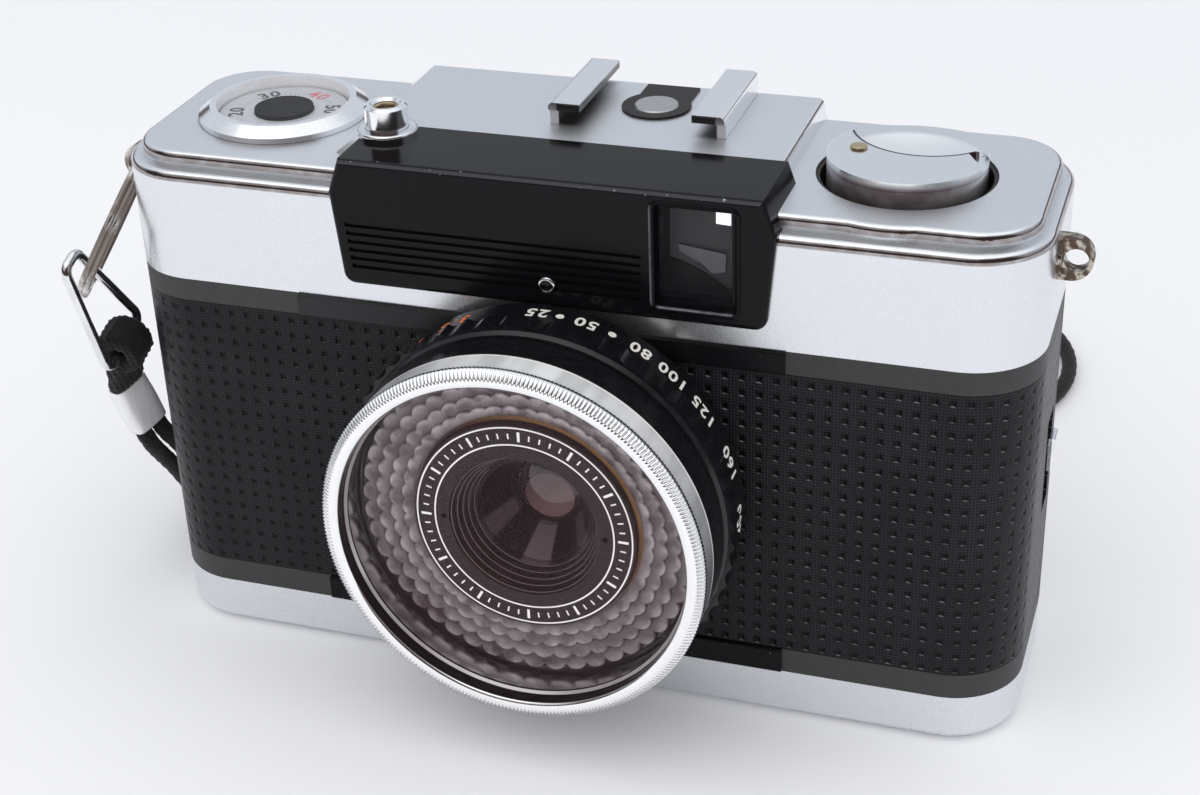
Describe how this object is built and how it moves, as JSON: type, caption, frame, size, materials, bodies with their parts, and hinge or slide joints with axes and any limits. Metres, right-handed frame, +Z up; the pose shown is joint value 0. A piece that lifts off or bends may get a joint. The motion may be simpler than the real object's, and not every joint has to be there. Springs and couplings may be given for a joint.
{
  "type": "half frame camera",
  "caption": "Compact half frame film camera with a ring-shaped light meter window round the lens, rewind crank, accessory shoe and a thin wrist strap.",
  "frame": {"origin": "centre of the tripod socket's mouth, on the underside, midway through the body's depth", "axes": "+X to the right of someone who faces the lens, -Y the way the lens looks, +Z up"},
  "size_m": [0.1289, 0.1385, 0.0729],
  "materials": {
    "satin_chrome": "satin",
    "bright_chrome": "polished",
    "black_metal": "satin",
    "gloss_black": "gloss",
    "ring_black": "satin",
    "leatherette": "matte",
    "casting": "matte",
    "inner_black": "matte",
    "steel": "brushed",
    "brass_part": "satin",
    "dial_face": "satin",
    "clear_glass": "clear",
    "tinted_glass": "clear",
    "lens_glass": "coated",
    "cell_brown": "matte",
    "cord_black": "woven",
    "sleeve_white": "gloss"
  },
  "bodies": {
    "body": {"body_casting": "casting", "film_gate_block": "casting", "cassette_cup": "casting", "front_plate": "black_metal", "front_leatherette": "leatherette", "flash_socket": "bright_chrome", "top_cover": "satin_chrome", "bottom_cover": "satin_chrome", "bottom_screws": "steel", "tripod_socket": "steel", "front_mask": "gloss_black", "index_pin": "bright_chrome", "finder_glasses": "clear_glass", "finder_tunnel": "inner_black", "eyepiece_frame": "gloss_black", "button_collar": "bright_chrome", "counter_bezel": "bright_chrome", "counter_glass": "clear_glass", "counter_bracket": "steel", "rewind_cup": "inner_black", "accessory_shoe": "bright_chrome", "shoe_insulator": "inner_black", "shoe_contact": "bright_chrome", "strap_eye_left": "bright_chrome", "strap_eye_right": "bright_chrome", "lens_base": "ring_black", "front_barrel": "ring_black", "selenium_cell": "cell_brown", "cell_window": "tinted_glass", "name_ring": "inner_black", "lens_tube": "inner_black", "front_element": "lens_glass", "shutter_plate": "inner_black", "rear_element": "lens_glass", "filter_ring": "bright_chrome", "filter_glass": "tinted_glass", "hinge_pin": "steel", "strap_fold": "cord_black", "strap_sleeve": "sleeve_white", "strap_cord": "cord_black"},
    "shutter_button": {"shutter_button": "bright_chrome"},
    "advance_wheel": {"advance_wheel": "black_metal"},
    "take_up_spool": {"take_up_spool": "inner_black"},
    "sprocket": {"sprocket": "inner_black"},
    "counter": {"counter_dial": "dial_face"},
    "rewind_sleeve": {"rewind_sleeve": "steel"},
    "rewind_knob": {"rewind_knob": "satin_chrome", "crank_rivet": "brass_part"},
    "rewind_crank": {"rewind_crank": "satin_chrome"},
    "control_ring": {"control_ring": "ring_black"},
    "blade_left": {"shutter_blade_left": "steel"},
    "blade_right": {"shutter_blade_right": "steel"},
    "door": {"back_door": "black_metal", "door_leatherette": "leatherette", "pressure_plate": "black_metal", "pressure_spring": "steel"},
    "latch": {"door_latch": "bright_chrome"},
    "rewind_release": {"rewind_release": "bright_chrome"},
    "strap_hardware": {"split_ring": "bright_chrome", "strap_link": "bright_chrome"}
  },
  "joints": [
    {"name": "shutter_press", "type": "slide", "parent": "body", "child": "shutter_button", "axis": [0, 0, -1], "range_m": [0, 0.0022], "stiffness_N_per_m": 250, "springref_m": -0.002},
    {"name": "advance_turn", "type": "hinge", "parent": "body", "child": "advance_wheel", "pos_m": [-0.0385, 0.00505, 0.053], "axis": [0, 0, 1], "continuous": true},
    {"name": "spool_turn", "type": "hinge", "parent": "body", "child": "take_up_spool", "pos_m": [-0.0395, -0.00125, 0.03], "axis": [0, 0, 1], "continuous": true},
    {"name": "sprocket_turn", "type": "hinge", "parent": "body", "child": "sprocket", "pos_m": [-0.0226, 0.00475, 0.03], "axis": [0, 0, 1], "continuous": true},
    {"name": "counter_turn", "type": "hinge", "parent": "body", "child": "counter", "pos_m": [-0.04, 0.00095, 0.066], "axis": [0, 0, 1], "continuous": true},
    {"name": "rewind_pull", "type": "slide", "parent": "body", "child": "rewind_sleeve", "axis": [0, 0, 1], "range_m": [0, 0.007]},
    {"name": "rewind_turn", "type": "hinge", "parent": "rewind_sleeve", "child": "rewind_knob", "pos_m": [0.038, 0.00035, 0.066], "axis": [0, 0, 1], "continuous": true},
    {"name": "crank_fold", "type": "hinge", "parent": "rewind_knob", "child": "rewind_crank", "pos_m": [0.0324, 0.00035, 0.0687], "axis": [0, 0, 1], "range_deg": [0, 95]},
    {"name": "control_ring_turn", "type": "hinge", "parent": "body", "child": "control_ring", "pos_m": [0.0006, -0.02125, 0.031], "axis": [0, -1, 0], "range_deg": [-90, 125]},
    {"name": "blade_left_open", "type": "hinge", "parent": "body", "child": "blade_left", "pos_m": [-0.002, -0.01755, 0.0405], "axis": [0, 1, 0], "range_deg": [0, 32]},
    {"name": "blade_right_open", "type": "hinge", "parent": "body", "child": "blade_right", "pos_m": [0.0032, -0.01815, 0.0405], "axis": [0, 1, 0], "range_deg": [-32, 0]},
    {"name": "door_open", "type": "hinge", "parent": "body", "child": "door", "pos_m": [-0.0564, 0.0069, 0.029], "axis": [0, 0, 1], "range_deg": [0, 95]},
    {"name": "latch_pull", "type": "slide", "parent": "body", "child": "latch", "axis": [0, 0, -1], "range_m": [0, 0.003], "stiffness_N_per_m": 150, "springref_m": -0.002},
    {"name": "rewind_release_press", "type": "slide", "parent": "body", "child": "rewind_release", "axis": [0, 0, 1], "range_m": [0, 0.0015], "stiffness_N_per_m": 250, "springref_m": -0.002},
    {"name": "strap_swing", "type": "hinge", "parent": "body", "child": "strap_hardware", "pos_m": [-0.058, -0.00425, 0.0606], "axis": [-0.1119, -0.2597, -0.9592], "range_deg": [-4, 5]}
  ],
  "couplings": [
    {"joint": "spool_turn", "follows": "advance_turn", "ratio": 1.5},
    {"joint": "sprocket_turn", "follows": "advance_turn", "ratio": 1.2},
    {"joint": "counter_turn", "follows": "advance_turn", "ratio": 0.033},
    {"joint": "blade_right_open", "follows": "blade_left_open", "ratio": -1}
  ]
}
